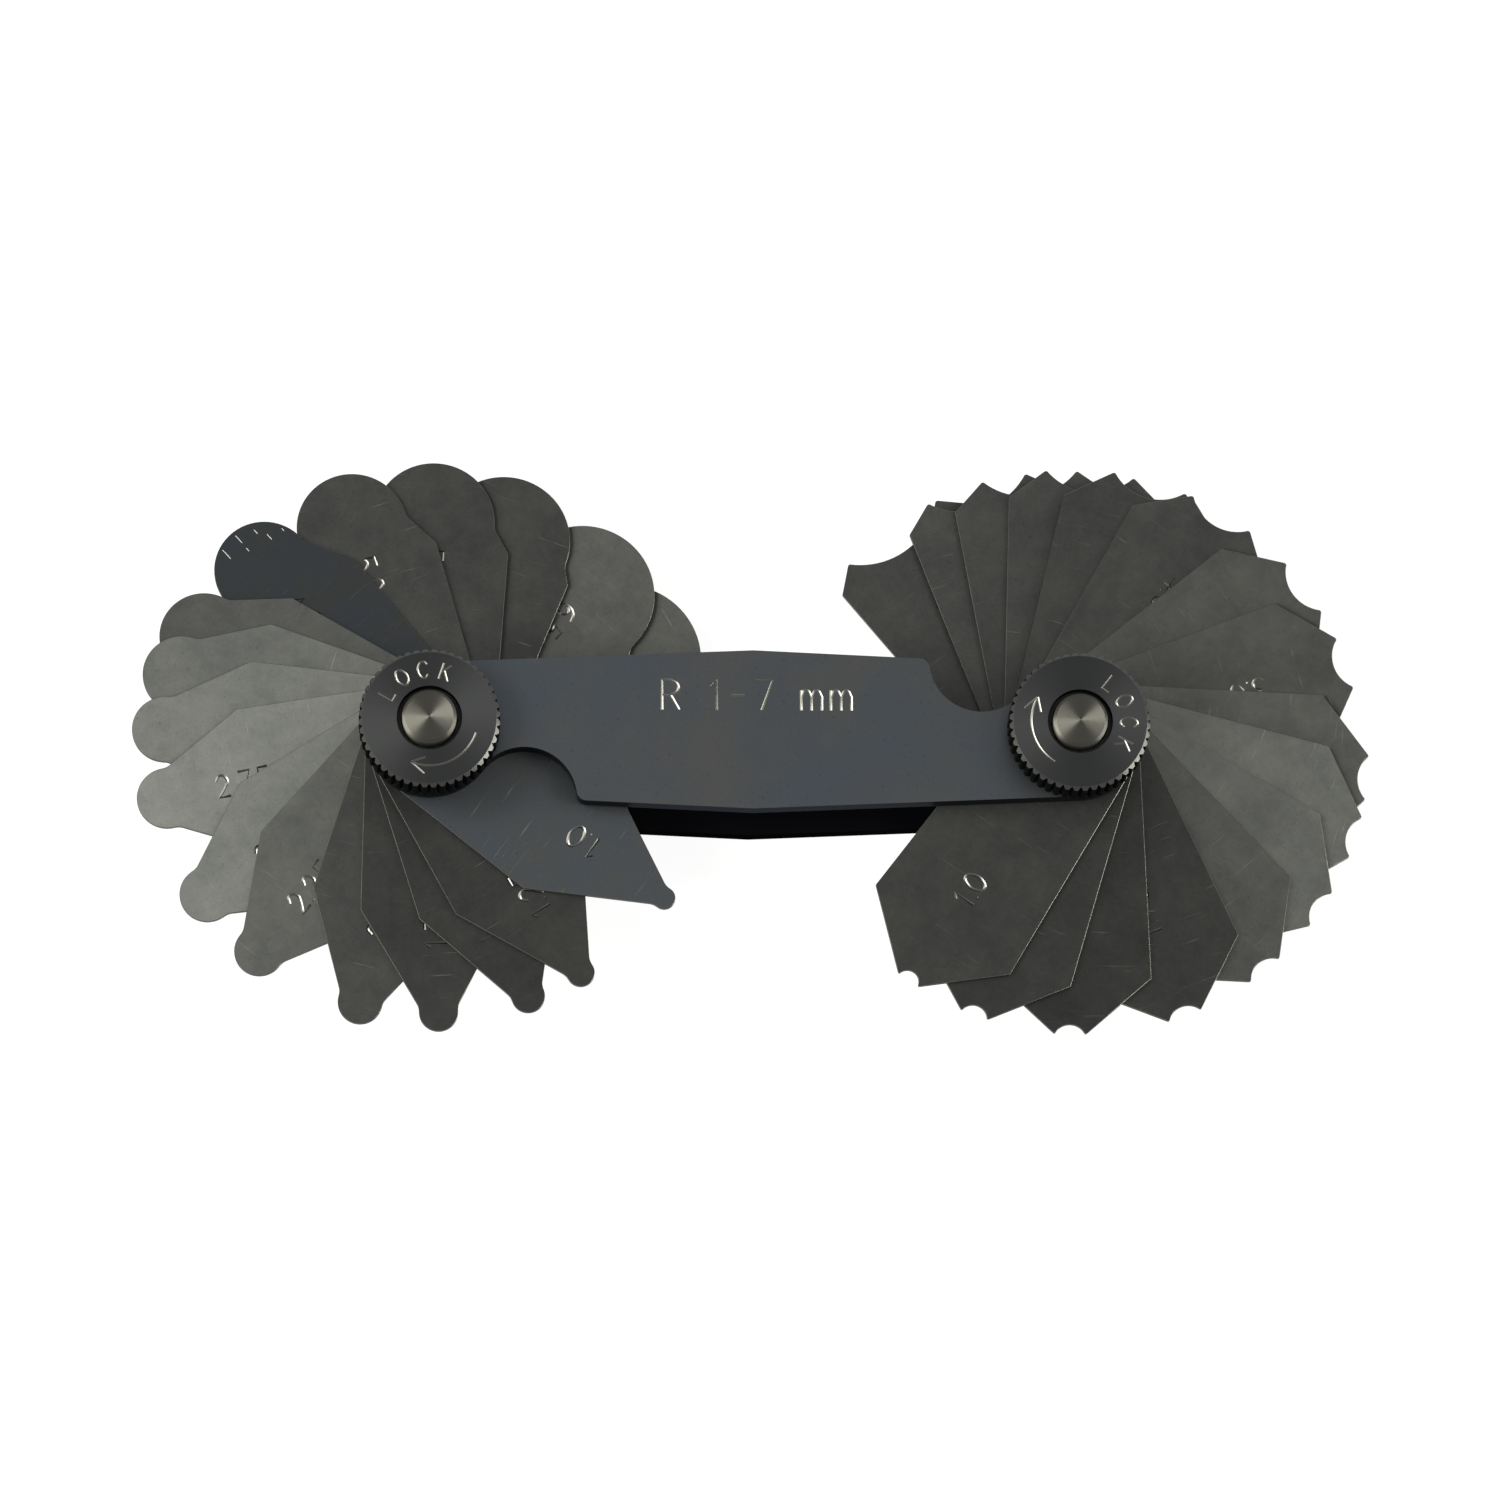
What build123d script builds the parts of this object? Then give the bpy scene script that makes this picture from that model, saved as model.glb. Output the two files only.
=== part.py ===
"""Radius gauge: two fans of stamped steel leaves in one two-plate holder.

Seventeen leaves with convex (round) tips turn on the left stud, and seventeen with
concave (hollow) tips turn on the right stud. Each pair is cut to one radius, from
1 mm at the front of the stack to 7 mm at the rear. A knurled knob on each stud
clamps its fan between the front plate and the rear plate.

The origin is the centre of the rear plate's back face. X runs along the holder,
from the left stud to the right stud, Y across it, and Z out of the front plate.
All sizes are millimetres.
"""
import os
from math import atan2, cos, hypot, pi, radians, sin, sqrt, tan

from build123d import *

# The fans as they stand: gauged radius, then the angle of each leaf from +X, in degrees
fan = [
    (1.00, -35.3, -124.2),
    (1.25, -57.8, -110.0),
    (1.50, -69.3, -91.3),
    (1.75, -87.8, -68.7),
    (2.00, -104.1, -50.6),
    (2.25, -127.9, -34.1),
    (2.50, -144.5, -18.1),
    (2.75, -167.5, -5.9),
    (3.00, 177.0, 17.7),
    (3.50, 163.9, 35.3),
    (4.00, 153.7, 57.6),
    (4.50, 132.5, 73.1),
    (5.00, 109.1, 72.2),
    (5.50, 89.2, 85.1),
    (6.00, 71.2, 97.1),
    (6.50, 46.7, 107.9),
    (7.00, 26.7, 127.0),
]

# Holder
pivot_spacing = 57.76
plate_thickness = 2.0
plate_mid_width = 14.44
plate_end_radius = 5.95
plate_corner_radius = 0.9
notch_inboard = 8.49
notch_offset = 6.4

# Leaves
leaf_thickness = 0.5
leaf_gap = 0.04

# Convex leaf: a blank that narrows to a neck, with a full round tip
convex_reach = 26.7
convex_end_radius = 5.7
convex_side_angle = 3.4
convex_flank_angle = 28.5
neck_straight = 0.15
neck_fillet = 1.4

# Concave leaf: a blank that widens to its shoulders, with two horns beside the hollow
concave_end_radius = 5.9
concave_shoulder_half_width = 7.2
concave_flank_angle = 48.0
small_hollow_reach = 26.75
small_hollow_depth = 0.8
small_horn_width = 0.14
large_hollow_reach = 26.1
large_hollow_mouth_share = 0.665
large_hollow_mouth_extra = 0.25
large_horn_width = 0.2
first_large_radius = 3.0

# Pivot studs
stud_radius = 2.5
thread_radius = 2.41
head_radius = 4.0
head_thickness = 0.8
stud_end_chamfer = 0.25
stud_stand_out = 0.6

# Washers
stack_washer_radius = 5.6
stack_washer_thickness = 0.52
knob_washer_radius = 5.2
knob_washer_thickness = 0.3

# Lock knobs
knob_radius = 6.27
knob_height = 3.7
knob_top_chamfer = 0.33
knob_well_radius = 2.9
knob_well_depth = 1.2
knurl_teeth = 48
knurl_depth = 0.3
knurl_groove_share = 0.62

# Hidden rounds are polygons: bores, washer rims and the leaf ends under the knobs
bore_sides = 12
end_sides = 16
rim_sides = 24

# Fits
bore_clearance = 0.05
head_clearance = 0.02
washer_clearance = 0.1
thread_clearance = 0.04
face_gap = 0.04

# Places that follow from the sizes above
pivot_x = pivot_spacing / 2
leaf_pitch = leaf_thickness + leaf_gap
leaf_bore = stud_radius + bore_clearance
thread_bore = thread_radius + thread_clearance
stack_bottom = plate_thickness + leaf_gap
stack_top = stack_bottom + (len(fan) - 1) * leaf_pitch + leaf_thickness
stack_washer_bottom = stack_top + face_gap
front_plate_bottom = stack_washer_bottom + stack_washer_thickness + face_gap
front_plate_top = front_plate_bottom + plate_thickness
knob_washer_bottom = front_plate_top + face_gap
knob_bottom = knob_washer_bottom + knob_washer_thickness + face_gap
knob_top = knob_bottom + knob_height
stud_top = knob_top + stud_stand_out

os.makedirs("parts", exist_ok=True)


def leaf_plane(side, angle, bottom):
    """Plane of one leaf: its origin on the stud's axis and its x axis along the leaf."""
    direction = (cos(radians(angle)), sin(radians(angle)), 0)
    return Plane(origin=(side * pivot_x, 0, bottom), x_dir=direction, z_dir=(0, 0, 1))


def leaf_name(kind, radius):
    """Node name with the gauged radius in hundredths, such as convex_leaf_1_25."""
    return f"{kind}_leaf_{radius:.2f}".replace(".", "_")


def save(piece, name):
    """Label one finished piece and write it under its own name."""
    piece.part.label = name
    export_step(piece.part, f"parts/{name}.step")


def plate_outline(notch_radius):
    """Face of both holder plates: a long lozenge with round ends and two thumb notches."""
    with BuildSketch() as outline:
        with Locations((-pivot_x, 0), (pivot_x, 0)):
            Circle(plate_end_radius)
        with BuildLine():
            Line((0, -plate_mid_width / 2), (0, plate_mid_width / 2))
        make_hull()
        # the arc of each notch runs smoothly into the round end beside it
        blend_angle = atan2(notch_offset, notch_inboard)
        blend_y = plate_end_radius * sin(blend_angle)
        with Locations((pivot_x - notch_inboard, notch_offset), (notch_inboard - pivot_x, -notch_offset)):
            Circle(notch_radius, mode=Mode.SUBTRACT)
        with Locations((pivot_x, blend_y)):
            Rectangle(notch_inboard, plate_mid_width, align=(Align.MAX, Align.MIN), mode=Mode.SUBTRACT)
        with Locations((-pivot_x, -blend_y)):
            Rectangle(notch_inboard, plate_mid_width, align=(Align.MIN, Align.MAX), mode=Mode.SUBTRACT)
        with Locations((-pivot_x, 0), (pivot_x, 0)):
            Circle(plate_end_radius)
        # the notches' outer corners stand furthest out after the two points in mid-length
        notch_corners = outline.vertices().group_by(lambda v: round(abs(v.Y), 3))[-2]
        fillet(notch_corners, plate_corner_radius)
    return outline


# Holder plates
notch_radius = hypot(notch_inboard, notch_offset) - plate_end_radius
holder_outline = plate_outline(notch_radius)

with BuildPart() as rear_plate:
    with BuildSketch():
        add(holder_outline.sketch)
        with Locations((-pivot_x, 0), (pivot_x, 0)):
            RegularPolygon(stud_radius + head_clearance, bore_sides, major_radius=False, mode=Mode.SUBTRACT)
    extrude(amount=plate_thickness)
    with BuildSketch():
        with Locations((-pivot_x, 0), (pivot_x, 0)):
            Circle(head_radius + head_clearance)
    extrude(amount=head_thickness, mode=Mode.SUBTRACT)
save(rear_plate, "rear_plate")

with BuildPart() as front_plate:
    with BuildSketch(Plane.XY.offset(front_plate_bottom)):
        add(holder_outline.sketch)
        with Locations((-pivot_x, 0), (pivot_x, 0)):
            RegularPolygon(leaf_bore, bore_sides, major_radius=False, mode=Mode.SUBTRACT)
    extrude(amount=plate_thickness)
save(front_plate, "front_plate")


def convex_leaf(radius, angle, bottom):
    """Leaf with a round tip of the gauged radius, for checking hollows."""
    tip_x = convex_reach - radius
    neck_x = tip_x - neck_straight - neck_fillet * tan(radians(convex_flank_angle / 2))
    # the flank runs back and out from the neck until it meets the blank's widening side
    flank = tan(radians(convex_flank_angle))
    side = tan(radians(convex_side_angle))
    shoulder_x = (radius + neck_x * flank - convex_end_radius) / (side + flank)
    shoulder_y = convex_end_radius + shoulder_x * side
    has_neck = shoulder_y - radius > neck_fillet * (1 - cos(radians(convex_flank_angle)))
    with BuildPart() as leaf:
        with BuildSketch(leaf_plane(-1, angle, bottom)) as outline:
            RegularPolygon(convex_end_radius, end_sides)
            if has_neck:
                with BuildLine():
                    Polyline(
                        (0, convex_end_radius),
                        (shoulder_x, shoulder_y),
                        (neck_x, radius),
                        (tip_x, radius),
                        (tip_x, -radius),
                        (neck_x, -radius),
                        (shoulder_x, -shoulder_y),
                        (0, -convex_end_radius),
                        close=True,
                    )
                make_face()
                corners = [(neck_x, radius), (neck_x, -radius)]
                fillet([outline.vertices().sort_by_distance(corner)[0] for corner in corners], neck_fillet)
            with Locations((tip_x, 0)):
                Circle(radius)
            if not has_neck:
                make_hull()
            RegularPolygon(leaf_bore, bore_sides, major_radius=False, mode=Mode.SUBTRACT)
        extrude(amount=leaf_thickness)
    return leaf


def concave_leaf(radius, angle, bottom):
    """Leaf with a hollow tip of the gauged radius between two horns, for checking rounds."""
    if radius < first_large_radius:
        reach = small_hollow_reach
        hollow_x = reach - small_hollow_depth + radius
        mouth = sqrt(radius**2 - (radius - small_hollow_depth) ** 2)
        horn_y = mouth + small_horn_width
    else:
        reach = large_hollow_reach
        mouth = large_hollow_mouth_share * radius + large_hollow_mouth_extra
        hollow_x = reach + sqrt(radius**2 - mouth**2)
        horn_y = mouth + large_horn_width
    shoulder_x = reach - (concave_shoulder_half_width - horn_y) / tan(radians(concave_flank_angle))
    with BuildPart() as leaf:
        with BuildSketch(leaf_plane(1, angle, bottom)):
            with BuildLine():
                Polyline(
                    (0, concave_end_radius),
                    (shoulder_x, concave_shoulder_half_width),
                    (reach, horn_y),
                    (reach, -horn_y),
                    (shoulder_x, -concave_shoulder_half_width),
                    (0, -concave_end_radius),
                    close=True,
                )
            make_face()
            RegularPolygon(concave_end_radius, end_sides)
            with Locations((hollow_x, 0)):
                Circle(radius, mode=Mode.SUBTRACT)
            RegularPolygon(leaf_bore, bore_sides, major_radius=False, mode=Mode.SUBTRACT)
        extrude(amount=leaf_thickness)
    return leaf


# Leaves, from the smallest radius at the front of the stack to the largest at the rear
for place, (gauged_radius, convex_angle, concave_angle) in enumerate(reversed(fan)):
    leaf_bottom = stack_bottom + place * leaf_pitch
    save(convex_leaf(gauged_radius, convex_angle, leaf_bottom), leaf_name("convex", gauged_radius))
    save(concave_leaf(gauged_radius, concave_angle, leaf_bottom), leaf_name("concave", gauged_radius))


def pivot_stud(x):
    """Stud with a flush head in the rear plate, a plain journal and a turned thread end."""
    shank_top = front_plate_top
    relief = stud_radius - thread_radius
    with BuildPart() as stud:
        with BuildSketch(Plane(origin=(x, 0, 0), x_dir=(1, 0, 0), z_dir=(0, -1, 0))):
            with BuildLine():
                Polyline(
                    (0, 0),
                    (head_radius, 0),
                    (head_radius, head_thickness),
                    (stud_radius, head_thickness),
                    (stud_radius, shank_top - relief),
                    (thread_radius, shank_top),
                    (thread_radius, stud_top - stud_end_chamfer),
                    (thread_radius - stud_end_chamfer, stud_top),
                    (0, stud_top),
                    close=True,
                )
            make_face()
        revolve(axis=Axis((x, 0, 0), (0, 0, 1)))
    return stud


def ring(x, bottom, inner_radius, outer_radius, thickness):
    """Plain flat washer."""
    with BuildPart() as washer:
        with BuildSketch(Plane(origin=(x, 0, bottom))):
            RegularPolygon(outer_radius, rim_sides)
            RegularPolygon(inner_radius, bore_sides, major_radius=False, mode=Mode.SUBTRACT)
        extrude(amount=thickness)
    return washer


def lock_knob(x):
    """Straight-knurled thumb nut with a chamfered rim and a well round the stud's end."""
    tooth_angle = 2 * pi / knurl_teeth
    groove_half_width = knob_radius * tooth_angle * knurl_groove_share / 2
    with BuildPart() as knob:
        with BuildSketch(Plane(origin=(x, 0, knob_bottom))):
            Circle(knob_radius)
            RegularPolygon(thread_bore, bore_sides, major_radius=False, mode=Mode.SUBTRACT)
            with PolarLocations(knob_radius, knurl_teeth):
                Polygon(
                    (-knurl_depth, 0),
                    (knurl_depth, groove_half_width * 2),
                    (knurl_depth, -groove_half_width * 2),
                    align=None,
                    mode=Mode.SUBTRACT,
                )
        extrude(amount=knob_height)
        with BuildSketch(Plane(origin=(x, 0, 0), x_dir=(1, 0, 0), z_dir=(0, -1, 0))):
            with BuildLine():
                Polyline(
                    (0, knob_bottom),
                    (knob_radius, knob_bottom),
                    (knob_radius, knob_top - knob_top_chamfer),
                    (knob_radius - knob_top_chamfer, knob_top),
                    (knob_well_radius, knob_top),
                    (knob_well_radius, knob_top - knob_well_depth),
                    (0, knob_top - knob_well_depth),
                    close=True,
                )
            make_face()
        revolve(axis=Axis((x, 0, 0), (0, 0, 1)), mode=Mode.INTERSECT)
    return knob


# Studs, washers and knobs, one set at each end
for side, side_x in (("left", -pivot_x), ("right", pivot_x)):
    save(pivot_stud(side_x), f"{side}_pivot_stud")
    save(
        ring(
            side_x,
            stack_washer_bottom,
            stud_radius + washer_clearance,
            stack_washer_radius,
            stack_washer_thickness,
        ),
        f"{side}_stack_washer",
    )
    save(
        ring(
            side_x,
            knob_washer_bottom,
            thread_radius + washer_clearance,
            knob_washer_radius,
            knob_washer_thickness,
        ),
        f"{side}_knob_washer",
    )
    save(lock_knob(side_x), f"{side}_lock_knob")
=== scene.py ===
import math

import bmesh
import bpy
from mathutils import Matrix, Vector


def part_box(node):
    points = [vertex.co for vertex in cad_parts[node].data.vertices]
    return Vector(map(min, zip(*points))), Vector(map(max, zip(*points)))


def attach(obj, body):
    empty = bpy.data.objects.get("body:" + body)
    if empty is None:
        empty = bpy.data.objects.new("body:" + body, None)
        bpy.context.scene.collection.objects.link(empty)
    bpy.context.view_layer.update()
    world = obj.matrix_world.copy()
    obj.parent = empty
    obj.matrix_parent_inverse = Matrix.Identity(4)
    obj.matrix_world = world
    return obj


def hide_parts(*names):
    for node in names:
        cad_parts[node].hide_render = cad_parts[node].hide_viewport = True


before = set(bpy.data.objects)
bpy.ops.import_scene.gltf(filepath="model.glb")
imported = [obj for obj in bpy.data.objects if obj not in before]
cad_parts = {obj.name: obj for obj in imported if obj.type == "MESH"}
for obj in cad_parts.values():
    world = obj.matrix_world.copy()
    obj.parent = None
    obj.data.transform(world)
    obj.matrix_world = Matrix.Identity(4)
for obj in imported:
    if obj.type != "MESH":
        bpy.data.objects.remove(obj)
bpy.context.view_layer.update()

mm = 0.001
print("frame loaded:", len(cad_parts), "nodes")

# Where the stud of each fan stands, and how deep the finest grain of a surface is
pivotX = {"left": -28.88 * mm, "right": 28.88 * mm}
grainDepth = 0.01 * mm


def linear(hexColour):
    # sRGB hex to the linear colour that the shaders take
    colour = []
    for start in (1, 3, 5):
        value = int(hexColour[start : start + 2], 16) / 255
        colour.append(value / 12.92 if value <= 0.04045 else ((value + 0.055) / 1.055) ** 2.4)
    return (*colour, 1.0)


def lighter(colour, factor):
    # a linear colour, made lighter or darker
    return [channel * factor for channel in colour[:3]] + [1]


def addNode(tree, kind, settings=None, values=None, links=None):
    node = tree.nodes.new(kind)
    for name, value in (settings or {}).items():
        setattr(node, name, value)
    for socket, value in (values or {}).items():
        node.inputs[socket].default_value = value
    for socket, source in (links or {}).items():
        tree.links.new(source, node.inputs[socket])
    return node


def newMaterial(name):
    material = bpy.data.materials.new(name)
    material.use_nodes = True
    tree = material.node_tree
    tree.nodes.clear()
    return material, tree


def stretchedNoise(tree, place, seed, turn, perMm, lengthMm, detail=3.0, breakUp=0.6):
    # noise drawn out into lines: perMm of them side by side, each about lengthMm long. The seed
    # only moves it to another part of the noise.
    stretch = addNode(
        tree,
        "ShaderNodeMapping",
        values={
            "Location": (seed * 3.7, seed * 1.3, seed),
            "Rotation": (0, 0, math.radians(turn)),
            "Scale": (perMm, 1 / lengthMm, 1),
        },
        links={"Vector": place.outputs[0]},
    )
    return addNode(
        tree,
        "ShaderNodeTexNoise",
        values={"Scale": 1.0, "Detail": detail, "Roughness": breakUp},
        links={"Vector": stretch.outputs[0]},
    )


def layColours(tree, base, layers):
    # lay colours over a base. Each layer has its noise, the two levels of it between which the
    # colour comes in, how strong it gets, and the colour.
    under = None
    for noise, start, full, strength, colour in layers:
        amount = addNode(
            tree,
            "ShaderNodeMapRange",
            values={"From Min": start, "From Max": full, "To Max": strength},
            links={"Value": noise.outputs[0]},
        )
        mixed = addNode(
            tree,
            "ShaderNodeMix",
            {"data_type": "RGBA"},
            values={6: base, 7: colour},
            links={0: amount.outputs[0]},
        )
        if under:
            tree.links.new(under.outputs[2], mixed.inputs[6])
        under = mixed
    return under


def brushedSteel(tree, finish, mapName, layers, base, lines, smudge):
    # the part that leaves and plates share: colour in layers, brushed lines that stretch every
    # highlight along the flat map's u, and smudges that dull the shine a little
    colour = layColours(tree, base, layers)
    tangent = addNode(tree, "ShaderNodeTangent", {"direction_type": "UV_MAP", "uv_map": mapName})
    cleanest, dullest = finish["smudgeRoughness"]
    # a noise mostly lies between 0.25 and 0.75
    rough = addNode(
        tree,
        "ShaderNodeMapRange",
        values={
            "From Min": 0.25,
            "From Max": 0.75,
            "To Min": finish["roughness"] + cleanest,
            "To Max": finish["roughness"] + dullest,
        },
        links={"Value": smudge.outputs[0]},
    )
    bump = addNode(
        tree,
        "ShaderNodeBump",
        values={"Strength": finish["lineRelief"], "Distance": finish["lineDepthMm"] * mm},
        links={"Height": lines.outputs[0]},
    )
    shader = addNode(
        tree,
        "ShaderNodeBsdfPrincipled",
        values={"Metallic": 1.0, "Anisotropic": finish["anisotropy"]},
        links={
            "Base Color": colour.outputs[2],
            "Roughness": rough.outputs[0],
            "Normal": bump.outputs[0],
            "Tangent": tangent.outputs[0],
        },
    )
    addNode(tree, "ShaderNodeOutputMaterial", links={"Surface": shader.outputs[0]})


# Gauge leaves: rolled spring steel, blackened and then linished across the leaf. Light from the left
# and right spreads along the leaf, so a leaf that points up stays dark and one that points to the
# side is light. Real linishing has about 30 lines to the millimetre, and is drawn coarser to show.
leafFinish = {
    "light": "#3d3e3b",
    "dark": "#333433",
    "blued": "#2f3338",
    "speck": "#191918",
    "worn": "#77766f",
    "roughness": 0.5,
    "smudgeRoughness": (-0.02, 0.03),
    "anisotropy": 0.62,
    "linesPerMm": 11.0,
    "lineLengthMm": 1.8,
    "lineDepthMm": 0.012,
    "lineRelief": 0.4,
    "smudgeMm": 7.0,
    "smudgeDetail": 7.0,
    "smudgeBreakUp": 0.85,
    "smudgeLevels": (0.36, 0.64, 1.0),  # where the colour starts, where it is full, how strong
    "speckMm": 0.3,
    "speckLevels": (0.6, 0.74, 0.4),
    "scratchesPerMm": 5.0,
    "scratchLengthMm": 6.0,
    "scratchLevels": (0.66, 0.76, 0.3),
}


def leafSteel(name, paintedLight, blued, seed):
    material, tree = newMaterial(name)
    place = addNode(tree, "ShaderNodeUVMap", {"uv_map": "leafMm"})
    lines = stretchedNoise(
        tree, place, seed, 0, leafFinish["linesPerMm"], leafFinish["lineLengthMm"]
    )
    # faint smudges of oil and handling, broken up into the mottle of the blacking
    smudge = stretchedNoise(
        tree,
        place,
        seed,
        0,
        1 / leafFinish["smudgeMm"],
        leafFinish["smudgeMm"],
        leafFinish["smudgeDetail"],
        leafFinish["smudgeBreakUp"],
    )
    # small dark pits in the blacking, and long faint scratches from sliding on the next leaf,
    # which lie another way on each leaf
    speck = stretchedNoise(
        tree, place, seed + 5, 0, 1 / leafFinish["speckMm"], leafFinish["speckMm"]
    )
    scratchTurn = 35 + seed * 11
    scratch = stretchedNoise(
        tree,
        place,
        seed,
        scratchTurn,
        leafFinish["scratchesPerMm"],
        leafFinish["scratchLengthMm"],
    )
    # painted light: both colours of the leaf are scaled by its own factor, for how much lamp light it
    # catches
    base = lighter(linear(leafFinish["dark"]), paintedLight)
    worked = lighter(linear(leafFinish["blued" if blued else "light"]), paintedLight)
    layers = [
        (smudge, *leafFinish["smudgeLevels"], worked),
        (speck, *leafFinish["speckLevels"], linear(leafFinish["speck"])),
        (scratch, *leafFinish["scratchLevels"], linear(leafFinish["worn"])),
    ]
    brushedSteel(tree, leafFinish, "leafMm", layers, base, lines, smudge)
    return material


# Cover plates: satin-plated steel, brushed along its length, which looks flat and blue-grey, a little
# browner where hands rub it. The brushing is drawn coarser than it is, as on the leaves.
plateFinish = {
    "speck": "#141517",
    "roughness": 0.42,
    "smudgeRoughness": (-0.03, 0.04),
    "anisotropy": 0.6,
    "linesPerMm": 11.0,
    "lineLengthMm": 2.5,
    "lineDepthMm": 0.012,
    "lineRelief": 0.35,
    "smudgeMm": 9.0,
    "smudgeLevels": (0.35, 0.7, 1.0),
    "speckMm": 0.35,
    "speckLevels": (0.6, 0.75, 0.35),
}


def platedSteel(name, blue, brown):
    material, tree = newMaterial(name)
    place = addNode(tree, "ShaderNodeUVMap", {"uv_map": "plateMm"})
    lines = stretchedNoise(
        tree, place, 1, 0, plateFinish["linesPerMm"], plateFinish["lineLengthMm"]
    )
    smudge = stretchedNoise(
        tree, place, 2, 0, 1 / plateFinish["smudgeMm"], plateFinish["smudgeMm"]
    )
    speck = stretchedNoise(
        tree, place, 3, 0, 1 / plateFinish["speckMm"], plateFinish["speckMm"]
    )
    layers = [
        (smudge, *plateFinish["smudgeLevels"], linear(brown)),
        (speck, *plateFinish["speckLevels"], linear(plateFinish["speck"])),
    ]
    brushedSteel(tree, plateFinish, "plateMm", layers, linear(blue), lines, smudge)
    return material


def plainSteel(
    name, hexColour, roughness, grainMm=0.3, contrast=0.1, relief=0.0, rimTint="#ffffff"
):
    # cut or stamped steel without a direction of its own: a fine even grain. A dark rimTint dims
    # its shine where it is seen edge on, which paints shade on the knurl and the rear plate's edges.
    material, tree = newMaterial(name)
    place = addNode(tree, "ShaderNodeTexCoord")
    grain = addNode(
        tree,
        "ShaderNodeTexNoise",
        values={"Scale": 1 / (grainMm * mm), "Detail": 3.0},
        links={"Vector": place.outputs["Object"]},
    )
    base = linear(hexColour)
    colour = addNode(
        tree,
        "ShaderNodeMix",
        {"data_type": "RGBA"},
        values={6: lighter(base, 1 - contrast), 7: lighter(base, 1 + contrast)},
        links={0: grain.outputs[0]},
    )
    bump = addNode(
        tree,
        "ShaderNodeBump",
        values={"Strength": relief, "Distance": grainDepth},
        links={"Height": grain.outputs[0]},
    )
    shader = addNode(
        tree,
        "ShaderNodeBsdfPrincipled",
        values={"Metallic": 1.0, "Roughness": roughness, "Specular Tint": linear(rimTint)},
        links={"Base Color": colour.outputs[2], "Normal": bump.outputs[0]},
    )
    addNode(tree, "ShaderNodeOutputMaterial", links={"Surface": shader.outputs[0]})
    return material


def turnedSteel(name, hexColour, roughness, anisotropy, ringMm, contrast=0.18):
    # faced on a lathe: rings about the axis, so highlights fan out from the middle as a bow tie
    material, tree = newMaterial(name)
    place = addNode(tree, "ShaderNodeUVMap", {"uv_map": "turnedMm"})
    tangent = addNode(tree, "ShaderNodeTangent", {"direction_type": "RADIAL", "axis": "Z"})
    reach = addNode(
        tree, "ShaderNodeVectorMath", {"operation": "LENGTH"}, links={0: place.outputs[0]}
    )
    ringPlace = addNode(tree, "ShaderNodeCombineXYZ", links={"X": reach.outputs["Value"]})
    rings = addNode(
        tree,
        "ShaderNodeTexNoise",
        values={"Scale": 1 / ringMm, "Detail": 3.0, "Roughness": 0.6},
        links={"Vector": ringPlace.outputs[0]},
    )
    base = linear(hexColour)
    colour = addNode(
        tree,
        "ShaderNodeMix",
        {"data_type": "RGBA"},
        values={6: lighter(base, 1 - contrast), 7: lighter(base, 1 + contrast)},
        links={0: rings.outputs[0]},
    )
    bump = addNode(
        tree,
        "ShaderNodeBump",
        values={"Strength": 0.25, "Distance": grainDepth},
        links={"Height": rings.outputs[0]},
    )
    # a quarter turn of the anisotropy lays the highlight across the rings
    shader = addNode(
        tree,
        "ShaderNodeBsdfPrincipled",
        values={
            "Metallic": 1.0,
            "Roughness": roughness,
            "Anisotropic": anisotropy,
            "Anisotropic Rotation": 0.25,
        },
        links={
            "Base Color": colour.outputs[2],
            "Normal": bump.outputs[0],
            "Tangent": tangent.outputs[0],
        },
    )
    addNode(tree, "ShaderNodeOutputMaterial", links={"Surface": shader.outputs[0]})
    return material


# Ground edges and stamped grooves of the leaves: barer than the faces, so they glint as hairlines
leafEdgeSteel = plainSteel("leafEdgeSteel", "#55544f", 0.36)
grooveSteel = plainSteel("stampedGrooveSteel", "#4f4e4b", 0.3)
wornSteel = plainSteel("wornBrightSteel", "#62635f", 0.5)

# The front plate is satin grey. The rear one is painted near black, face and edges, as painted shade
# from the front plate over it, so it nearly loses its form.
plateSteel = platedSteel("satinPlatedSteel", "#40454a", "#444443")
rearPlateShadeSteel = platedSteel("shadePaintedPlateSteel", "#101115", "#121214")
plateMarkSteel = plainSteel("stampedPlateSteel", "#5a5954", 0.32)
# the front plate's upright sides and bevels: painted shade, darker than its face
plateEdgeShadeSteel = plainSteel("plateEdgeShadeSteel", "#2a2c2f", 0.45, relief=0.05, rimTint="#9ea0a4")
# the rear plate's edges: painted shade, near black
rearEdgeShadeSteel = plainSteel("rearPlateEdgeShadeSteel", "#0e0f10", 0.5, relief=0.05, rimTint="#1a1b1e")

# Knobs: a dark faced top, a barer chamfer that catches light as a crescent, and a blackened knurl
# whose upright faces and bore are darkened further as painted shade. The turned rings are drawn at
# 0.12 mm, about twice as coarse as a fine facing cut.
knobSteel = turnedSteel("knurledKnobSteel", "#2a2b2b", 0.42, 0.5, 0.12)
knobRimSteel = plainSteel("knobRimSteel", "#3e3e3c", 0.3)
knurlShadeSteel = plainSteel("knurledSideShadeSteel", "#242526", 0.45, relief=0.05, rimTint="#4c4e52")
knobMarkSteel = plainSteel("stampedKnobSteel", "#504f4c", 0.3)

# Stud ends: bare faced steel, the brightest spots. Washers: plain stamped steel, dull in the gaps.
studSteel = turnedSteel("brightTurnedSteel", "#45443f", 0.45, 0.93, 0.14)
washerSteel = plainSteel("washerSteel", "#3f3f3e", 0.45, grainMm=0.25, contrast=0.12, relief=0.2)
print("materials made")


# Points of a CAD mesh closer than this are one, faces that turn by less are one flat face, and an
# edge that turns by more gets a bevel
weldGap = 0.0005 * mm
flatDegrees = 0.5
bevelDegrees = 40


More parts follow.
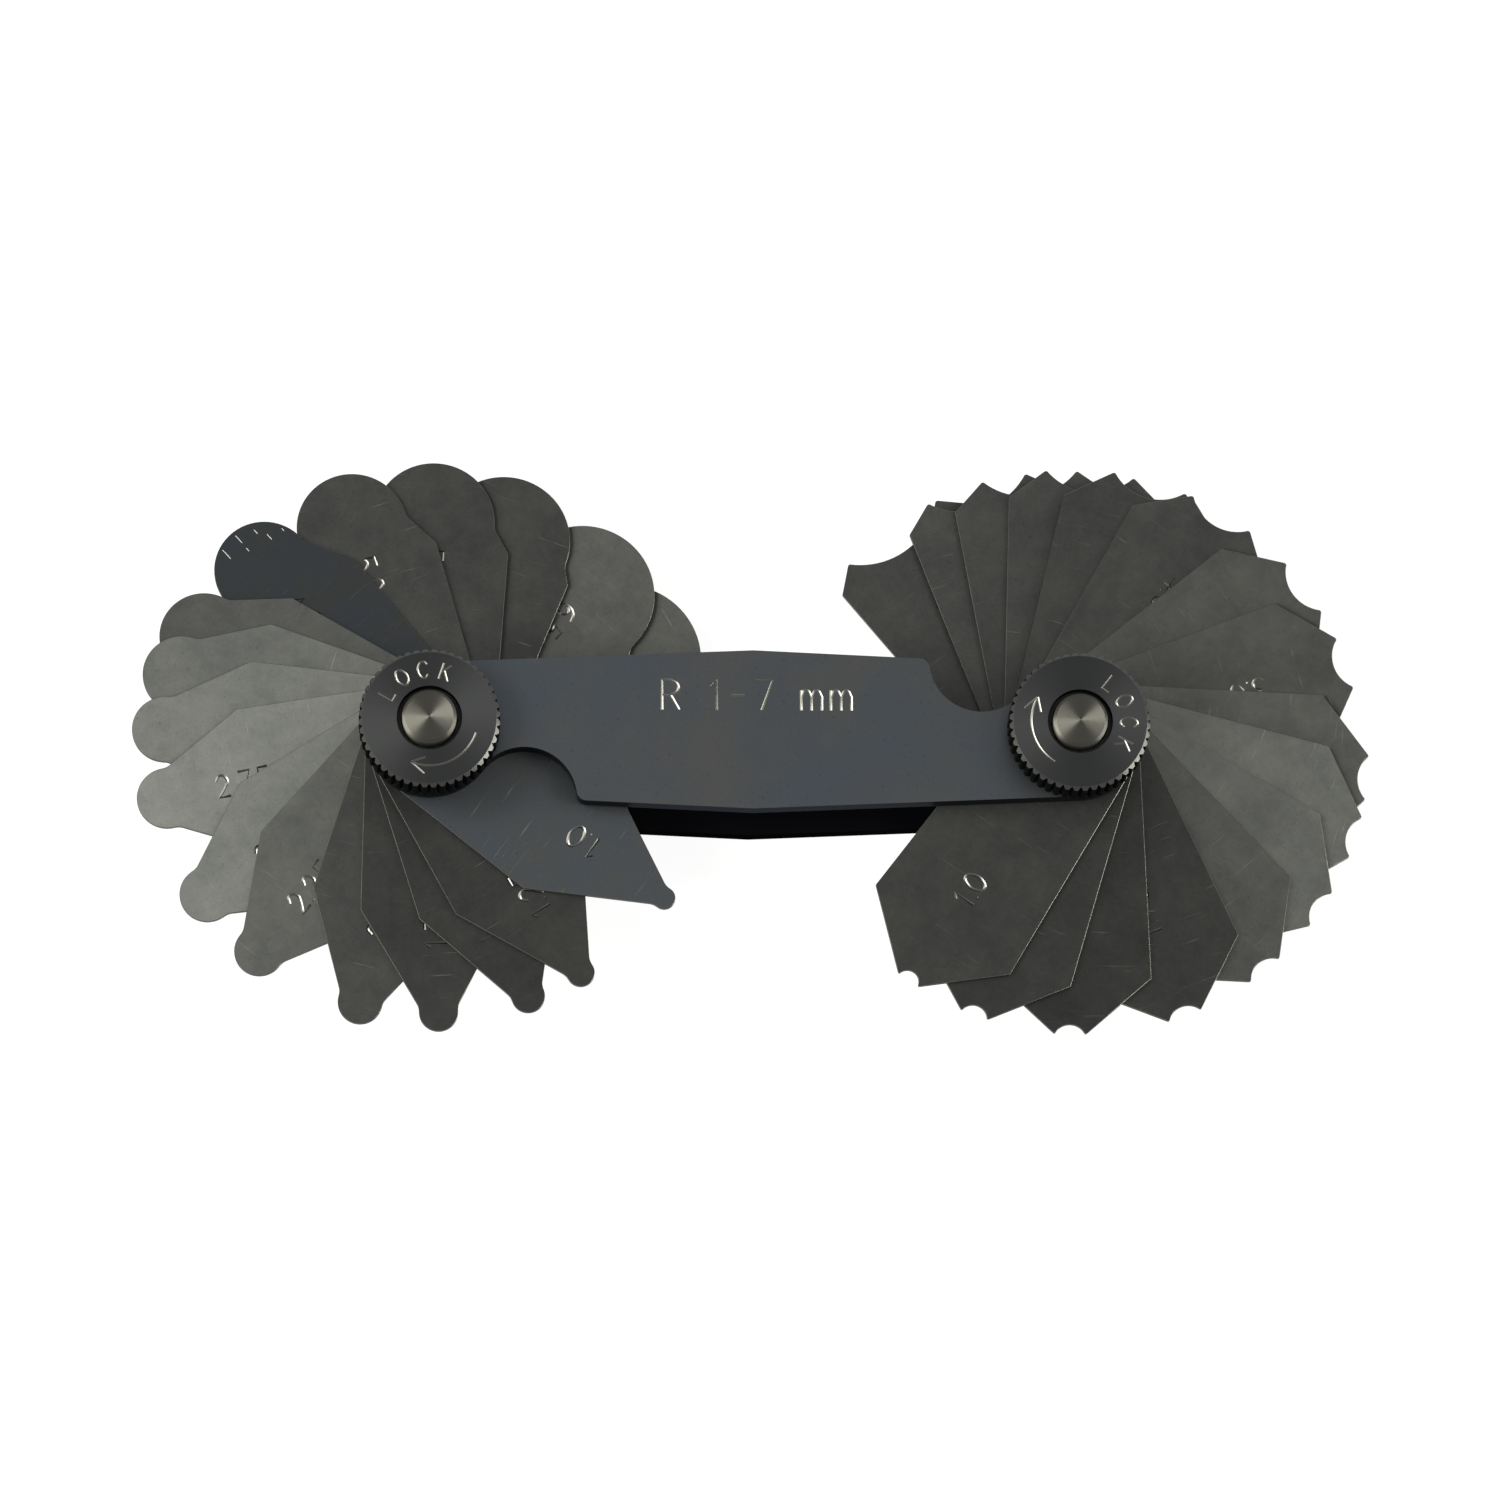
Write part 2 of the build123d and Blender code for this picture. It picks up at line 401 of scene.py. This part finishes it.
def pieceFromNode(name, nodeName, materials):
    # a welded copy of a CAD node's mesh, with its flat faces joined up
    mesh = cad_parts[nodeName].data.copy()
    mesh.name = name
    mesh.materials.clear()
    for layer in ("custom_normal", "sharp_edge", "sharp_face"):
        if layer in mesh.attributes:
            mesh.attributes.remove(mesh.attributes[layer])
    form = bmesh.new()
    form.from_mesh(mesh)
    bmesh.ops.remove_doubles(form, verts=form.verts, dist=weldGap)
    bmesh.ops.dissolve_limit(
        form, angle_limit=math.radians(flatDegrees), verts=form.verts, edges=form.edges
    )
    for face in form.faces:
        face.material_index = 0
    form.to_mesh(mesh)
    form.free()
    piece = bpy.data.objects.new(name, mesh)
    bpy.context.scene.collection.objects.link(piece)
    for material in materials:
        piece.data.materials.append(material)
    return piece


def paintFaces(piece, rise, slot):
    # give a material slot to the faces that slope so: 0 is an upright face, and 1 a level one
    lowest, highest = rise
    for face in piece.data.polygons:
        if lowest <= abs(face.normal.z) < highest:
            face.material_index = slot


def applyModifiers(piece):
    bpy.context.view_layer.update()
    depsgraph = bpy.context.evaluated_depsgraph_get()
    mesh = bpy.data.meshes.new_from_object(piece.evaluated_get(depsgraph))
    piece.modifiers.clear()
    piece.data = mesh


def breakEdges(piece, width):
    # a fine bevel on every sharp edge, in the edge material, which is slot 1
    bevel = piece.modifiers.new("edges", "BEVEL")
    bevel.width = width
    bevel.segments = 1
    bevel.limit_method = "ANGLE"
    bevel.angle_limit = math.radians(bevelDegrees)
    bevel.material = 1
    bevel.use_clamp_overlap = True
    applyModifiers(piece)


# Strokes of a plain engraver's alphabet, one unit high: the x and y of each point, and whether the
# line bends smoothly there
strokes = {
    "0": [
        [(0.28, 1, 1), (0.03, 0.76, 1), (0.03, 0.24, 1)]
        + [(0.28, 0, 1), (0.53, 0.24, 1), (0.53, 0.76, 1)],
    ],
    "1": [[(0.1, 0.78, 0), (0.3, 1, 0), (0.3, 0, 0)]],
    "2": [
        [(0.02, 0.76, 1), (0.27, 1, 1), (0.53, 0.74, 1)]
        + [(0.4, 0.45, 1), (0.02, 0, 0), (0.56, 0, 0)],
    ],
    "3": [
        [(0.03, 0.84, 1), (0.27, 1, 1), (0.5, 0.77, 1), (0.24, 0.54, 0)],
        [(0.24, 0.54, 0), (0.54, 0.28, 1), (0.28, 0, 1), (0.02, 0.18, 1)],
    ],
    "4": [[(0.42, 0, 0), (0.42, 1, 0), (0, 0.3, 0), (0.58, 0.3, 0)]],
    "5": [
        [(0.5, 1, 0), (0.08, 1, 0), (0.05, 0.55, 0), (0.3, 0.62, 1)]
        + [(0.54, 0.32, 1), (0.27, 0, 1), (0.01, 0.15, 1)],
    ],
    "6": [
        [(0.47, 0.95, 1), (0.15, 0.78, 1), (0.03, 0.33, 1), (0.29, 0, 1)]
        + [(0.54, 0.3, 1), (0.3, 0.58, 1), (0.05, 0.4, 1)],
    ],
    "7": [[(0, 1, 0), (0.55, 1, 0), (0.2, 0, 0)]],
    ".": [[(-0.05, 0, 0), (-0.05, 0.06, 0)]],
    "-": [[(0.05, 0.5, 0), (0.5, 0.5, 0)]],
    "R": [
        [(0, 0, 0), (0, 1, 0), (0.3, 1, 1), (0.54, 0.76, 1), (0.3, 0.5, 1), (0, 0.5, 0)],
        [(0.28, 0.5, 0), (0.56, 0, 0)],
    ],
    "m": [
        [(0, 0, 0), (0, 0.68, 0)],
        [(0, 0.46, 0), (0.17, 0.68, 1), (0.34, 0.46, 0), (0.34, 0, 0)],
        [(0.34, 0.46, 0), (0.51, 0.68, 1), (0.68, 0.46, 0), (0.68, 0, 0)],
    ],
    "L": [[(0.04, 1, 0), (0.04, 0, 0), (0.52, 0, 0)]],
    "O": [
        [(0.3, 1, 1), (0.02, 0.74, 1), (0.02, 0.26, 1)]
        + [(0.3, 0, 1), (0.58, 0.26, 1), (0.58, 0.74, 1)],
    ],
    "C": [
        [(0.56, 0.8, 1), (0.32, 1, 1), (0.03, 0.74, 1)]
        + [(0.03, 0.26, 1), (0.32, 0, 1), (0.56, 0.2, 1)],
    ],
    "K": [
        [(0.03, 0, 0), (0.03, 1, 0)],
        [(0.52, 1, 0), (0.03, 0.4, 0)],
        [(0.18, 0.58, 0), (0.56, 0, 0)],
    ],
    " ": [],
}
closedLetters = {"0", "O"}
usualWidth = 0.56
bendSteps = 5  # straight pieces between two points of a stroke
# the point stands in the gap after its figure, so it takes less than no room of its own
letterWidths = {".": -0.09, "1": 0.42, "m": 0.68, " ": 0.35, "O": 0.6, "C": 0.58}


def letterWidth(letter):
    return letterWidths.get(letter, usualWidth)


def wordWidth(word, spacing):
    return sum(letterWidth(letter) for letter in word) + spacing * (len(word) - 1)


def newCutter(halfWidth):
    # a blunt stamp's path: its section is a diamond, so it leaves a groove with sloping sides
    curve = bpy.data.curves.new("cutter", "CURVE")
    curve.dimensions = "3D"
    curve.twist_mode = "Z_UP"
    curve.fill_mode = "FULL"
    curve.bevel_depth = halfWidth
    curve.bevel_resolution = 0
    curve.use_fill_caps = True
    return curve


def addStroke(curve, points, closed, origin, across, upward):
    # one stroke as a bezier spline, in the frame that across and upward give
    spline = curve.splines.new("BEZIER")
    spline.bezier_points.add(len(points) - 1)
    for knot, (x, y, smooth) in zip(spline.bezier_points, points):
        knot.co = origin + across * x + upward * y
        knot.handle_left_type = "AUTO" if smooth else "VECTOR"
        knot.handle_right_type = "AUTO" if smooth else "VECTOR"
    spline.use_cyclic_u = closed
    spline.resolution_u = bendSteps


def addLetter(curve, letter, corner, across, upward, height):
    # corner is the letter's lower left one
    for points in strokes[letter]:
        closed = letter in closedLetters
        addStroke(curve, points, closed, corner, across * height, upward * height)


def addWord(curve, word, centre, across, upward, height, spacing):
    # a straight word, centred on centre
    start = -wordWidth(word, spacing) / 2
    for letter in word:
        corner = centre + across * (start * height) - upward * (height / 2)
        addLetter(curve, letter, corner, across, upward, height)
        start += letterWidth(letter) + spacing


# Depth of a stamped groove as a share of its half width
grooveSlope = 0.55


def cutGrooves(piece, curve, surface, material):
    # cut the strokes out of the piece, as an exact boolean; surface is the height of its face
    path = bpy.data.objects.new("cutterPath", curve)
    bpy.context.scene.collection.objects.link(path)
    bpy.context.view_layer.update()
    depsgraph = bpy.context.evaluated_depsgraph_get()
    mesh = bpy.data.meshes.new_from_object(path.evaluated_get(depsgraph))
    mesh.materials.clear()
    mesh.materials.append(material)
    for face in mesh.polygons:
        face.material_index = 0
    for vertex in mesh.vertices:
        vertex.co.z = surface + (vertex.co.z - surface) * grooveSlope
    bpy.data.objects.remove(path)
    cutter = bpy.data.objects.new("cutter", mesh)
    bpy.context.scene.collection.objects.link(cutter)
    boolean = piece.modifiers.new("grooves", "BOOLEAN")
    boolean.operation = "DIFFERENCE"
    boolean.solver = "EXACT"
    boolean.use_self = True
    boolean.material_mode = "TRANSFER"
    boolean.object = cutter
    applyModifiers(piece)
    bpy.data.objects.remove(cutter)


# Share of the height that is added to a flat map, so that it doesn't fold up on upright sides
sideStretch = 0.31


def mapInMm(piece, mapName, origin, along):
    # lay a flat map in millimetres on the piece: u runs along, v across
    side = Vector((-along.y, along.x, 0))
    mesh = piece.data
    while mesh.uv_layers:
        mesh.uv_layers.remove(mesh.uv_layers[0])
    layer = mesh.uv_layers.new(name=mapName)
    for loop in mesh.loops:
        place = mesh.vertices[loop.vertex_index].co - origin
        lift = place.z * sideStretch
        layer.data[loop.index].uv = ((place.dot(along) + lift) / mm, (place.dot(side) + lift) / mm)


def shade(piece, creaseDegrees):
    mesh = piece.data
    mesh.shade_smooth()
    mesh.set_sharp_from_angle(angle=math.radians(creaseDegrees))


def direction(degrees):
    return Vector((math.cos(math.radians(degrees)), math.sin(math.radians(degrees)), 0))


# The fans: the radius on each leaf, where the convex and the concave one stand, in degrees from
# +X, and the painted light of each of them: a factor that makes its colours lighter or darker for the
# lamp light it catches
fan = [
    (1.00, -35.3, -124.2, 1.0, 0.65),
    (1.25, -57.8, -110.0, 0.7, 0.7),
    (1.50, -69.3, -91.3, 0.75, 0.7),
    (1.75, -87.8, -68.7, 0.8, 0.7),
    (2.00, -104.1, -50.6, 0.95, 1.1),
    (2.25, -127.9, -34.1, 1.05, 1.25),
    (2.50, -144.5, -18.1, 1.35, 1.15),
    (2.75, -167.5, -5.9, 1.4, 0.75),
    (3.00, 177.0, 17.7, 1.35, 0.6),
    (3.50, 163.9, 35.3, 1.3, 0.7),
    (4.00, 153.7, 57.6, 0.95, 0.8),
    (4.50, 132.5, 73.1, 0.75, 0.9),
    (5.00, 109.1, 72.2, 1.05, 0.9),
    (5.50, 89.2, 85.1, 0.95, 1.1),
    (6.00, 71.2, 97.1, 0.8, 1.1),
    (6.50, 46.7, 107.9, 0.95, 1.15),
    (7.00, 26.7, 127.0, 0.75, 0.9),
]

# Leaves, in millimetres: the stamped radius reads from the leaf's outer end towards the stud. Six
# ticks are worn lengthwise into the tip of one leaf. Each has how far across it lies, how far out
# it starts from the middle of the tip's round, and its length.
leafForm = {
    "edge": 0.035,
    "creaseDegrees": 28,
    "bluedLeaves": {("convex", 1.0), ("convex", 4.5)},
    "markHeight": 2.0,
    "markFromStud": 17.0,
    "markHalfWidth": 0.13,
    "markSpacing": 0.29,
    "wornLeaf": ("convex", 4.5),
    "tickHalfWidth": 0.045,
    "ticks": [
        (-0.2, 4.1, 0.9),
        (-0.15, 2.6, 0.4),
        (-1.8, 3.4, 0.5),
        (-2.4, 2.3, 0.65),
        (1.55, 3.9, 1.1),
        (-3.75, 1.8, 0.3),
    ],
}


def leafWord(radius):
    word = f"{radius:.2f}"
    return word[:-1] if word.endswith("0") else word


def cutTicks(piece, stud, along, radius):
    reach = max((vertex.co - stud).dot(along) for vertex in piece.data.vertices)
    tipCentre = stud + along * (reach - radius * mm)
    side = Vector((-along.y, along.x, 0))
    curve = newCutter(leafForm["tickHalfWidth"] * mm)
    for across, start, length in leafForm["ticks"]:
        tick = [(start, across, 0), (start - length, across, 0)]
        addStroke(curve, tick, False, tipCentre, along * mm, side * mm)
    cutGrooves(piece, curve, stud.z, wornSteel)


def makeLeaf(kind, radius, angle, paintedLight, side, number):
    nodeName = f"{kind}_leaf_{radius:.2f}".replace(".", "_")
    name = f"{kind}Leaf{leafWord(radius).replace('.', '_')}"
    blued = (kind, radius) in leafForm["bluedLeaves"]
    faceSteel = leafSteel(f"linishedGaugeSteel{number}", paintedLight, blued, number)
    piece = pieceFromNode(name, nodeName, [faceSteel, leafEdgeSteel])
    breakEdges(piece, leafForm["edge"] * mm)
    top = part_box(nodeName)[1][2]
    stud = Vector((pivotX[side], 0, top))
    along = direction(angle)
    across = -along
    upward = Vector((-across.y, across.x, 0))
    curve = newCutter(leafForm["markHalfWidth"] * mm)
    addWord(
        curve,
        leafWord(radius),
        stud + along * (leafForm["markFromStud"] * mm),
        across,
        upward,
        leafForm["markHeight"] * mm,
        leafForm["markSpacing"],
    )
    cutGrooves(piece, curve, top, grooveSteel)
    if (kind, radius) == leafForm["wornLeaf"]:
        cutTicks(piece, stud, along, radius)
    mapInMm(piece, "leafMm", stud, along)
    shade(piece, leafForm["creaseDegrees"])
    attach(piece, nodeName)
    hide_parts(nodeName)


# each leaf's steel gets its own painted light from the table
for number, (radius, convexAngle, concaveAngle, convexPaintedLight, concavePaintedLight) in enumerate(fan):
    makeLeaf("convex", radius, convexAngle, convexPaintedLight, "left", number + 1)
    makeLeaf("concave", radius, concaveAngle, concavePaintedLight, "right", number + 21)
print("leaves made")

# Cover plates, in millimetres: the front one carries the gauge's range, the rear one is bare
plateForm = {
    "edge": 0.05,
    "creaseDegrees": 28,
    "shadeSideRise": (0, 0.5),
    "word": "R 1-7 mm",
    "wordHeight": 2.7,
    "wordHalfWidth": 0.115,
    "wordSpacing": 0.3,
    "wordCentre": (0.3, 3.1),
}


def makePlate(name, nodeName, faceSteel, edgeShadeSteel, word):
    piece = pieceFromNode(name, nodeName, [faceSteel, edgeShadeSteel])
    breakEdges(piece, plateForm["edge"] * mm)
    # the upright sides take the edge material too, which paints them darker as shade
    paintFaces(piece, plateForm["shadeSideRise"], 1)
    if word:
        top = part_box(nodeName)[1][2]
        curve = newCutter(plateForm["wordHalfWidth"] * mm)
        addWord(
            curve,
            word,
            Vector((plateForm["wordCentre"][0] * mm, plateForm["wordCentre"][1] * mm, top)),
            Vector((1, 0, 0)),
            Vector((0, 1, 0)),
            plateForm["wordHeight"] * mm,
            plateForm["wordSpacing"],
        )
        cutGrooves(piece, curve, top, plateMarkSteel)
    # the map's u runs across the plate, because its grain runs along it
    mapInMm(piece, "plateMm", Vector((0, 0, 0)), Vector((0, 1, 0)))
    shade(piece, plateForm["creaseDegrees"])
    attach(piece, "holder")
    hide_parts(nodeName)


makePlate("frontPlate", "front_plate", plateSteel, plateEdgeShadeSteel, plateForm["word"])
makePlate("rearPlate", "rear_plate", rearPlateShadeSteel, rearEdgeShadeSteel, "")
print("plates made")

# Lock knobs, in millimetres: the word and the turning arrow are stamped round the face. The arrow's
# shaft is an arc, and its head has two short barbs, which end barbSpread to the sides of the arc.
knobForm = {
    "chamferRise": (0.2, 0.95),
    "knurlShadeRise": (0, 0.2),
    "creaseDegrees": 20,
    "word": "LOCK",
    "wordHeight": 1.5,
    "letterDegrees": 26.5,
    "markRadius": 4.35,
    "markHalfWidth": 0.1,
    "arrowSteps": 12,
    "barbDegrees": 17,
    "barbSpread": 0.75,
}
knobTurns = {
    "left": {"wordCentre": 111.0, "arrowStart": -18.0, "arrowEnd": -112.0},
    "right": {"wordCentre": 11.5, "arrowStart": 238.0, "arrowEnd": 150.0},
}


def addWordRound(curve, axis, centreDegrees):
    # the word round the knob's face, each letter upright to the rim
    word = knobForm["word"]
    height = knobForm["wordHeight"] * mm
    for place, letter in enumerate(word):
        degrees = centreDegrees + ((len(word) - 1) / 2 - place) * knobForm["letterDegrees"]
        upward = direction(degrees)
        across = direction(degrees - 90)
        middle = axis + upward * (knobForm["markRadius"] * mm)
        corner = middle - across * (letterWidth(letter) / 2 * height) - upward * (height / 2)
        addLetter(curve, letter, corner, across, upward, height)


def addArrow(curve, axis, startDegrees, endDegrees):
    steps = knobForm["arrowSteps"]
    east = Vector((mm, 0, 0))
    north = Vector((0, mm, 0))
    shaft = []
    for step in range(steps + 1):
        degrees = startDegrees + (endDegrees - startDegrees) * step / steps
        point = direction(degrees) * knobForm["markRadius"]
        shaft.append((point.x, point.y, 1))
    addStroke(curve, shaft, False, axis, east, north)
    tipX, tipY = shaft[-1][:2]
    for spread in (-knobForm["barbSpread"], knobForm["barbSpread"]):
        back = direction(endDegrees + knobForm["barbDegrees"]) * (knobForm["markRadius"] + spread)
        addStroke(curve, [(tipX, tipY, 0), (back.x, back.y, 0)], False, axis, east, north)


def makeKnob(side):
    nodeName = f"{side}_lock_knob"
    turn = knobTurns[side]
    piece = pieceFromNode(f"{side}LockKnob", nodeName, [knobSteel, knobRimSteel, knurlShadeSteel])
    paintFaces(piece, knobForm["chamferRise"], 1)
    # the upright faces, the knurl and the bore round the stud, get the knurl steel with its painted
    # shade
    paintFaces(piece, knobForm["knurlShadeRise"], 2)
    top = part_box(nodeName)[1][2]
    axis = Vector((pivotX[side], 0, top))
    curve = newCutter(knobForm["markHalfWidth"] * mm)
    addWordRound(curve, axis, turn["wordCentre"])
    addArrow(curve, axis, turn["arrowStart"], turn["arrowEnd"])
    cutGrooves(piece, curve, top, knobMarkSteel)
    mapInMm(piece, "turnedMm", Vector((axis.x, 0, 0)), Vector((1, 0, 0)))
    shade(piece, knobForm["creaseDegrees"])
    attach(piece, f"{side}_knob")
    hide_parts(nodeName)


# Pivot studs: only their turned ends show
studForm = {"creaseDegrees": 25}


def makeStud(side):
    nodeName = f"{side}_pivot_stud"
    piece = pieceFromNode(f"{side}PivotStud", nodeName, [studSteel])
    mapInMm(piece, "turnedMm", Vector((pivotX[side], 0, 0)), Vector((1, 0, 0)))
    shade(piece, studForm["creaseDegrees"])
    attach(piece, "holder")
    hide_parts(nodeName)


for side in ("left", "right"):
    makeKnob(side)
    makeStud(side)
    # the washers stay as the CAD has them, in their own steel
    for washer in ("stack_washer", "knob_washer"):
        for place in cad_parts[f"{side}_{washer}"].material_slots:
            place.material = washerSteel
print("knobs and studs made")

# Plain white sweep: bright to the camera and to the steel, and it still takes a soft shadow. Its
# size is in metres, and it lies just under the gauge.
stageLook = {"floor": "#f4f4f2", "shadowShare": 0.08, "ambient": 0.6, "size": 4.0, "dropMm": 0.02}


def backdropRays(tree):
    # 1 where a ray comes from the camera, from a reflection or through glass
    path = addNode(tree, "ShaderNodeLightPath")
    first = addNode(
        tree,
        "ShaderNodeMath",
        {"operation": "MAXIMUM"},
        links={0: path.outputs["Is Camera Ray"], 1: path.outputs["Is Glossy Ray"]},
    )
    return addNode(
        tree,
        "ShaderNodeMath",
        {"operation": "MAXIMUM"},
        links={0: first.outputs[0], 1: path.outputs["Is Transmission Ray"]},
    )


def makeSweepMaterial():
    # matt white paper, which glows at a strength of 1 to the backdrop's rays
    material, tree = newMaterial("whiteSweep")
    matt = addNode(
        tree,
        "ShaderNodeBsdfDiffuse",
        values={"Color": linear(stageLook["floor"]), "Roughness": 0.5},
    )
    glow = addNode(tree, "ShaderNodeEmission", values={"Color": (1, 1, 1, 1), "Strength": 1.0})
    share = addNode(
        tree,
        "ShaderNodeMath",
        {"operation": "MULTIPLY"},
        values={1: 1 - stageLook["shadowShare"]},
        links={0: backdropRays(tree).outputs[0]},
    )
    blend = addNode(
        tree,
        "ShaderNodeMixShader",
        links={0: share.outputs[0], 1: matt.outputs[0], 2: glow.outputs[0]},
    )
    addNode(tree, "ShaderNodeOutputMaterial", links={"Surface": blend.outputs[0]})
    return material


floorMesh = bpy.data.meshes.new("whiteSweep")
half = stageLook["size"] / 2
corners = [(-half, -half, 0), (half, -half, 0), (half, half, 0), (-half, half, 0)]
floorMesh.from_pydata(corners, [], [(0, 1, 2, 3)])
floor = bpy.data.objects.new("whiteSweep", floorMesh)
floor.location = (0, 0, -stageLook["dropMm"] * mm)
floor.data.materials.append(makeSweepMaterial())
bpy.context.scene.collection.objects.link(floor)

world = bpy.data.worlds.new("studio")
bpy.context.scene.world = world
world.use_nodes = True
world.node_tree.nodes.clear()
level = addNode(
    world.node_tree,
    "ShaderNodeMapRange",
    values={"To Min": stageLook["ambient"], "To Max": 1.0},
    links={"Value": backdropRays(world.node_tree).outputs[0]},
)
sky = addNode(
    world.node_tree,
    "ShaderNodeBackground",
    values={"Color": (1, 1, 1, 1)},
    links={"Strength": level.outputs[0]},
)
addNode(world.node_tree, "ShaderNodeOutputWorld", links={"Surface": sky.outputs[0]})

# Soft boxes at the left and right, the left one stronger, and a low strip at the right, which
# draws the bright hairlines on the edges that face it. Places and sizes are in metres.
lampColour = "#fffef8"
lamps = {
    "softLeft": {"place": (-0.62, -0.06, 0.6), "width": 0.6, "height": 0.6, "power": 27.0},
    "softRight": {"place": (0.7, -0.02, 0.62), "width": 0.6, "height": 0.6, "power": 10.0},
    "lowRight": {"place": (0.7, -0.17, 0.12), "width": 0.6, "height": 0.2, "power": 6.0},
}
for name, lamp in lamps.items():
    light = bpy.data.lights.new(name, "AREA")
    light.shape = "RECTANGLE"
    light.size = lamp["width"]
    light.size_y = lamp["height"]
    light.energy = lamp["power"]
    light.color = linear(lampColour)[:3]
    stand = bpy.data.objects.new(name, light)
    stand.location = lamp["place"]
    stand.rotation_euler = (-Vector(lamp["place"])).to_track_quat("-Z", "Y").to_euler()
    bpy.context.scene.collection.objects.link(stand)

# The photograph's camera, in millimetres and degrees, found from the leaf tips, which are circles
# of known radius
cameraView = {
    "place": (-29.087, -161.085, 743.75),
    "degrees": (12.299, -2.2205, -0.1647),
    "lens": 201.437,
    "sensor": 36.0,
    "nearest": 10.0,
}
cameraData = bpy.data.cameras.new("camera")
cameraData.lens = cameraView["lens"]
cameraData.sensor_width = cameraView["sensor"]
cameraData.sensor_fit = "HORIZONTAL"
cameraData.clip_start = cameraView["nearest"] * mm
camera = bpy.data.objects.new("camera", cameraData)
camera.location = [value * mm for value in cameraView["place"]]
camera.rotation_euler = [math.radians(value) for value in cameraView["degrees"]]
bpy.context.scene.collection.objects.link(camera)
bpy.context.scene.camera = camera
bpy.context.scene.view_settings.view_transform = "Standard"
print("stage, lamps and camera set")
